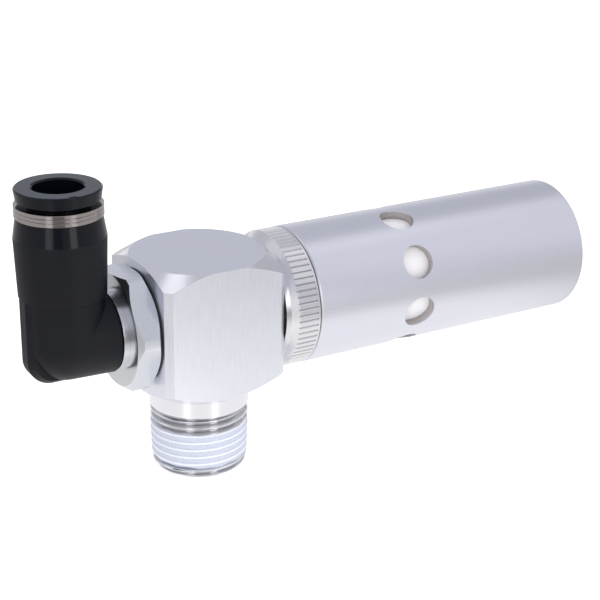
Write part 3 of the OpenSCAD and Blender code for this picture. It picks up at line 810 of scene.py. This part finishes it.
def studio_world():
    """White to the camera and even for diffuse light. Metal and gloss see a room instead: a white
    backdrop low behind the part, and dimmer, slightly blue walls, which get darker towards +X and
    dark where the camera stands."""
    world = bpy.data.worlds.new("studio")
    bpy.context.scene.world = world
    world.use_nodes = True
    room = NodeTree(world.node_tree)
    x, y, z = room.split(room.node("ShaderNodeTexCoord", output="Generated"))
    behind = room.step(0.0, 0.6, reach(x, y, FORWARD))
    backdrop = behind * (1 - room.step(0.06, 0.28, z))
    dark = room.step(*CAMERA_SIDE_EDGE, reach(x, y, -FORWARD)) * CAMERA_SIDE_LOSS
    walls = WALL_LEVEL * (1 - room.step(0.5, 0.68, x) * 0.15) * (1 - dark)
    camera = room.node("ShaderNodeLightPath", output="Is Camera Ray")
    diffuse = room.node("ShaderNodeLightPath", output="Is Diffuse Ray")
    even = camera + diffuse
    shown = (backdrop + (1 - backdrop) * walls) * (1 - even)
    background = world.node_tree.nodes["Background"]
    colour = room.mix(even, room.mix(backdrop, WALL_TINT, WHITE), WHITE)
    room.put(background.inputs["Color"], colour)
    room.put(background.inputs["Strength"], camera + diffuse * DIFFUSE_LEVEL + shown)
    print(f"room: {len(room.tree.nodes)} nodes, walls at {WALL_LEVEL} of the backdrop's white")


studio_world()

# %% [markdown]
# ## The table
#
# A white sheet that meets a white backdrop without a line is hard to light: it would need more
# light at the back than at the front. Here the sheet glows a little, so that its far edge is as
# white as the backdrop, while the shadow of the part still shows on it.

# %% The floor
TABLE_LEVEL = 1.01
POOL_CENTRE = (18 * MM, 0)
POOL_EDGE = (50 * MM, 100 * MM)
DARK_EDGE = (80 * MM, 120 * MM)
STRIP_AZIMUTHS = (-141, -84)
STREAK_EDGE = (0.987, 0.998)
STREAK_LEVEL = 0.3
LIT_PAPER = (0.9, 0.9, 0.9)
GLOW = (0.45, 0.45, 0.45)
BLACK = (0.0, 0.0, 0.0)
FLOOR_REACH = 6.0
FLOOR_GAP = 0.05 * MM


def floor_paper():
    """The camera sees the paper lit, with the part's soft shadow, and a little brighter than it
    is. Metal and gloss see a painted pool of light instead, which fades from the table's level to
    the walls' with the distance, with a painted streak towards each strip lamp and painted shade on
    the camera's side further out."""
    paper = Finish("floor_paper", Roughness=1.0, Specular_IOR_Level=0.0, Emission_Strength=1.0)
    x, y = paper.axes()[:2]
    distance = from_axis(x - POOL_CENTRE[0], y - POOL_CENTRE[1])
    # Painted light: a pool of glow on the floor, seen only in reflections.
    pool = TABLE_LEVEL - paper.step(*POOL_EDGE, distance) * (TABLE_LEVEL - WALL_LEVEL)
    nearness = (x * x + y * y).power(-0.5)
    for azimuth in STRIP_AZIMUTHS:
        along = reach(x, y, direction(azimuth)) * nearness
        # Painted streak of light in the direction of each strip lamp.
        pool = pool + paper.step(*STREAK_EDGE, along) * STREAK_LEVEL
    towards = reach(x, y, -FORWARD) * nearness
    far = paper.step(*DARK_EDGE, distance)
    # Painted shade on the camera's side, far from the part.
    dark = paper.step(*CAMERA_SIDE_EDGE, towards) * far * CAMERA_SIDE_LOSS
    reflected = paper.node("ShaderNodeLightPath", output="Is Glossy Ray")
    paper.set("Base Color", paper.mix(reflected, LIT_PAPER, BLACK))
    paper.set("Emission Color", paper.mix(reflected, GLOW, pool * (1 - dark)))
    return paper


def floor_plane():
    """One large square at the spigot's end."""
    low, high, height = -FLOOR_REACH, FLOOR_REACH, SPIGOT_END - FLOOR_GAP
    corners = [(low, low, height), (high, low, height), (high, high, height), (low, high, height)]
    mesh = bpy.data.meshes.new("floor")
    mesh.from_pydata(corners, [], [(0, 1, 2, 3)])
    mesh.materials.append(floor_paper().material)
    plane = bpy.data.objects.new("floor", mesh)
    bpy.context.scene.collection.objects.link(plane)
    plane.visible_diffuse = False
    plane.visible_shadow = False
    print(f"floor: at {height / MM:.2f} mm")


floor_plane()

# %% [markdown]
# ## The lamps
#
# Small soft lamps overhead put the highlights along the case and on the block's cones, and two
# upright strips draw the paired streaks on the elbow, the ring and the boss. A lamp's look depends
# on how bright its face is, and not on its watts, so each is set by radiance and its power is
# worked out from its size.

# %% Soft lamps
PART_CENTRE = (cad_box[0] + cad_box[1]) / 2


def soft_lamp(name, azimuth, elevation, distance, width, height, radiance):
    """An area lamp that faces the part from a direction in degrees. Its power follows from the
    brightness of its face: radiance times pi times the area."""
    data = bpy.data.lights.new(name, "AREA")
    data.shape = "RECTANGLE"
    data.size, data.size_y = width, height
    data.energy = radiance * math.pi * width * height
    lamp = bpy.data.objects.new(name, data)
    bpy.context.scene.collection.objects.link(lamp)
    away = direction(azimuth, elevation)
    lamp.location = PART_CENTRE + away * distance
    lamp.rotation_mode = "QUATERNION"
    lamp.rotation_quaternion = away.to_track_quat("Z", "Y")
    lamp.visible_camera = False
    print(f"{name}: {data.energy:.3f} W")


soft_lamp("strip_left", STRIP_AZIMUTHS[0], 0, 0.5, 0.15, 0.5, 1.4)
soft_lamp("strip_right", STRIP_AZIMUTHS[1], 0, 0.5, 0.15, 0.5, 1.9)
soft_lamp("overhead", 116, 72.5, 0.6, 0.15, 0.14, 0.6)
soft_lamp("overhead_left", 148, 46, 0.6, 0.35, 0.25, 0.2)
soft_lamp("overhead_right", 5, 64, 0.6, 0.22, 0.18, 0.3)
soft_lamp("side_right", -23, 30, 0.7, 0.78, 0.9, 0.25)

# %% [markdown]
# ## Camera
#
# A long lens, a hand's breadth above the part, looking down by 21.5 degrees. Its three axes are
# built from turn, tilt and roll and become the columns of its matrix, which is plainer than
# guessing three Euler angles.

# %% Camera
CAMERA_TILT = math.radians(21.5)
CAMERA_ROLL = math.radians(0.76)
CAMERA_PLACE = (-0.10926, -0.21554, 0.11826)
FOCAL_LENGTH_MM = 92.9
SENSOR_WIDTH_MM = 36


def studio_camera():
    """Builds the camera's axes from its turn, tilt and roll, and puts them into its matrix."""
    right = Vector((FORWARD.y, -FORWARD.x, 0))
    up = FORWARD * math.sin(CAMERA_TILT) + Vector((0, 0, math.cos(CAMERA_TILT)))
    forward = FORWARD * math.cos(CAMERA_TILT) - Vector((0, 0, math.sin(CAMERA_TILT)))
    side = right * math.cos(CAMERA_ROLL) + up * math.sin(CAMERA_ROLL)
    top = up * math.cos(CAMERA_ROLL) - right * math.sin(CAMERA_ROLL)
    data = bpy.data.cameras.new("camera")
    data.lens = FOCAL_LENGTH_MM
    data.sensor_width = SENSOR_WIDTH_MM
    data.clip_start = 0.01
    camera = bpy.data.objects.new("camera", data)
    bpy.context.scene.collection.objects.link(camera)
    turned = Matrix((side, top, -forward)).transposed().to_4x4()
    camera.matrix_world = Matrix.Translation(CAMERA_PLACE) @ turned
    bpy.context.scene.camera = camera
    print(f"camera: {(Vector(CAMERA_PLACE) - PART_CENTRE).length:.3f} m from the part's middle")


studio_camera()
bpy.context.scene.view_settings.view_transform = "Standard"
